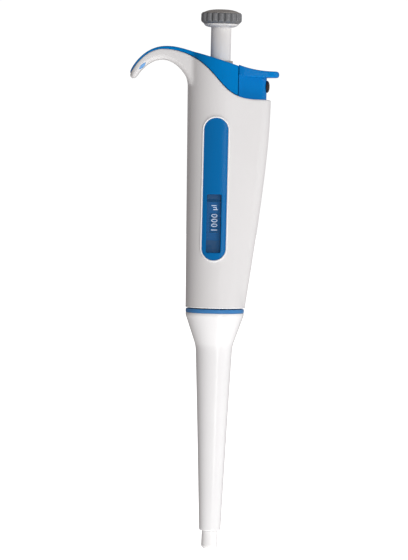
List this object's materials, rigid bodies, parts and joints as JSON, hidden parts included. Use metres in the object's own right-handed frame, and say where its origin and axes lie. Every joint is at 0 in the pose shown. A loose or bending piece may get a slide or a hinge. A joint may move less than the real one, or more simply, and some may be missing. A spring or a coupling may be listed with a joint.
{
  "type": "adjustable micropipette",
  "caption": "Single-channel adjustable air-displacement micropipette with finger hook, volume display, ribbed plunger knob, side tip ejector and a tapered nozzle for disposable tips.",
  "frame": {"origin": "centre of the nozzle's mouth, on the plunger's axis", "axes": "+Z along the plunger axis from the nozzle to the knob, -X towards the finger hook, +X towards the ejector button, -Y towards the display"},
  "size_m": [0.0674, 0.029, 0.2398],
  "materials": {
    "handle_white": "fine satin texture",
    "cover_blue": "smooth satin gloss",
    "button_blue": "smooth satin gloss",
    "display_blue": "polished",
    "window_clear": "clear tinted pane",
    "sleeve_white": "polished",
    "nozzle_white": "polished",
    "ring_blue": "satin gloss",
    "stem_grey": "satin",
    "knob_grey": "satin with fine texture",
    "collar_grey": "satin",
    "frame_grey": "moulded",
    "guide_white": "moulded",
    "drum_blue": "moulded",
    "mask_blue": "printed",
    "gear_white": "moulded",
    "seal_white": "waxy",
    "rubber_black": "soft",
    "piston_steel": "polished",
    "spring_steel": "drawn wire",
    "rod_steel": "brushed",
    "stop_brass": "turned",
    "screw_dark": "blackened",
    "screw_steel": "machined"
  },
  "bodies": {
    "handle": {"handle_shell": "handle_white", "top_cover": "cover_blue", "display_bezel": "display_blue", "display_window": "window_clear", "barrel": "nozzle_white", "piston_seal": "seal_white", "o_ring": "rubber_black", "seal_retainer": "guide_white", "barrel_nut": "frame_grey", "lower_frame": "frame_grey", "piston_spring": "spring_steel", "counter_frame": "frame_grey", "pinion_shaft": "rod_steel", "zero_ring": "drum_blue", "volume_mask": "mask_blue", "friction_ring": "rubber_black", "upper_frame": "frame_grey", "frame_screws": "screw_steel", "blowout_spring": "spring_steel", "stem_guide": "guide_white", "ejector_spring": "spring_steel"},
    "blowout_stage": {"stop_plate": "stop_brass"},
    "plunger": {"piston": "piston_steel", "piston_cap": "frame_grey"},
    "knob": {"adjust_knob": "knob_grey", "knob_cap": "knob_grey", "knob_screw": "screw_steel", "button_stem": "stem_grey", "spindle": "rod_steel"},
    "nut": {"stop_nut": "gear_white"},
    "drive": {"drive_sleeve": "stop_brass", "tens_drum": "drum_blue"},
    "hundreds": {"hundreds_drum": "drum_blue"},
    "thousands": {"thousands_drum": "drum_blue"},
    "pinion_1": {"carry_pinion_1": "gear_white"},
    "pinion_2": {"carry_pinion_2": "gear_white"},
    "ejector": {"ejector_button": "button_blue", "ejector_screw": "screw_dark", "ejector_rod": "rod_steel", "ejector_ring": "ring_blue", "ejector_sleeve": "sleeve_white"},
    "calibration": {"calibration_nut": "collar_grey"}
  },
  "joints": [
    {"name": "blowout", "type": "slide", "parent": "handle", "child": "blowout_stage", "axis": [0, 0, -1], "range_m": [0, 0.002], "stiffness_N_per_m": 3000, "springref_m": -0.001, "deforming": ["blowout_spring"]},
    {"name": "plunger_press", "type": "slide", "parent": "blowout_stage", "child": "plunger", "axis": [0, 0, -1], "range_m": [0, 0.01], "stiffness_N_per_m": 450, "springref_m": -0.004, "deforming": ["piston_spring"]},
    {"name": "knob_turn", "type": "hinge", "parent": "plunger", "child": "knob", "pos_m": [0, 0, 0.2347], "axis": [0, 0, 1], "range_deg": [-3240, 0]},
    {"name": "stop_nut_slide", "type": "slide", "parent": "plunger", "child": "nut", "axis": [0, 0, 1], "range_m": [-0.009, 0]},
    {"name": "drive_turn", "type": "hinge", "parent": "handle", "child": "drive", "pos_m": [0, 0, 0.148], "axis": [0, 0, 1], "range_deg": [-3240, 0]},
    {"name": "hundreds_turn", "type": "hinge", "parent": "handle", "child": "hundreds", "pos_m": [0, 0, 0.144], "axis": [0, 0, 1], "range_deg": [-324, 0]},
    {"name": "thousands_turn", "type": "hinge", "parent": "handle", "child": "thousands", "pos_m": [0, 0, 0.142], "axis": [0, 0, 1], "range_deg": [-32.4, 0]},
    {"name": "pinion_1_turn", "type": "hinge", "parent": "handle", "child": "pinion_1", "pos_m": [0.00676, 0.00567, 0.1448], "axis": [0, 0, 1], "range_deg": [0, 810]},
    {"name": "pinion_2_turn", "type": "hinge", "parent": "handle", "child": "pinion_2", "pos_m": [0.00676, 0.00567, 0.1427], "axis": [0, 0, 1], "range_deg": [0, 81]},
    {"name": "ejector_press", "type": "slide", "parent": "handle", "child": "ejector", "axis": [0, 0, -1], "range_m": [0, 0.0065], "stiffness_N_per_m": 400, "springref_m": -0.006, "deforming": ["ejector_spring"]},
    {"name": "calibration_turn", "type": "hinge", "parent": "handle", "child": "calibration", "pos_m": [0, 0, 0.213], "axis": [0, 0, 1], "range_deg": [-180, 180]}
  ],
  "couplings": [
    {"joint": "drive_turn", "follows": "knob_turn", "ratio": 1},
    {"joint": "hundreds_turn", "follows": "knob_turn", "ratio": 0.1},
    {"joint": "thousands_turn", "follows": "knob_turn", "ratio": 0.01},
    {"joint": "pinion_1_turn", "follows": "knob_turn", "ratio": -0.25},
    {"joint": "pinion_2_turn", "follows": "knob_turn", "ratio": -0.025},
    {"joint": "stop_nut_slide", "follows": "knob_turn", "m_per_rad": 0.00015915}
  ]
}
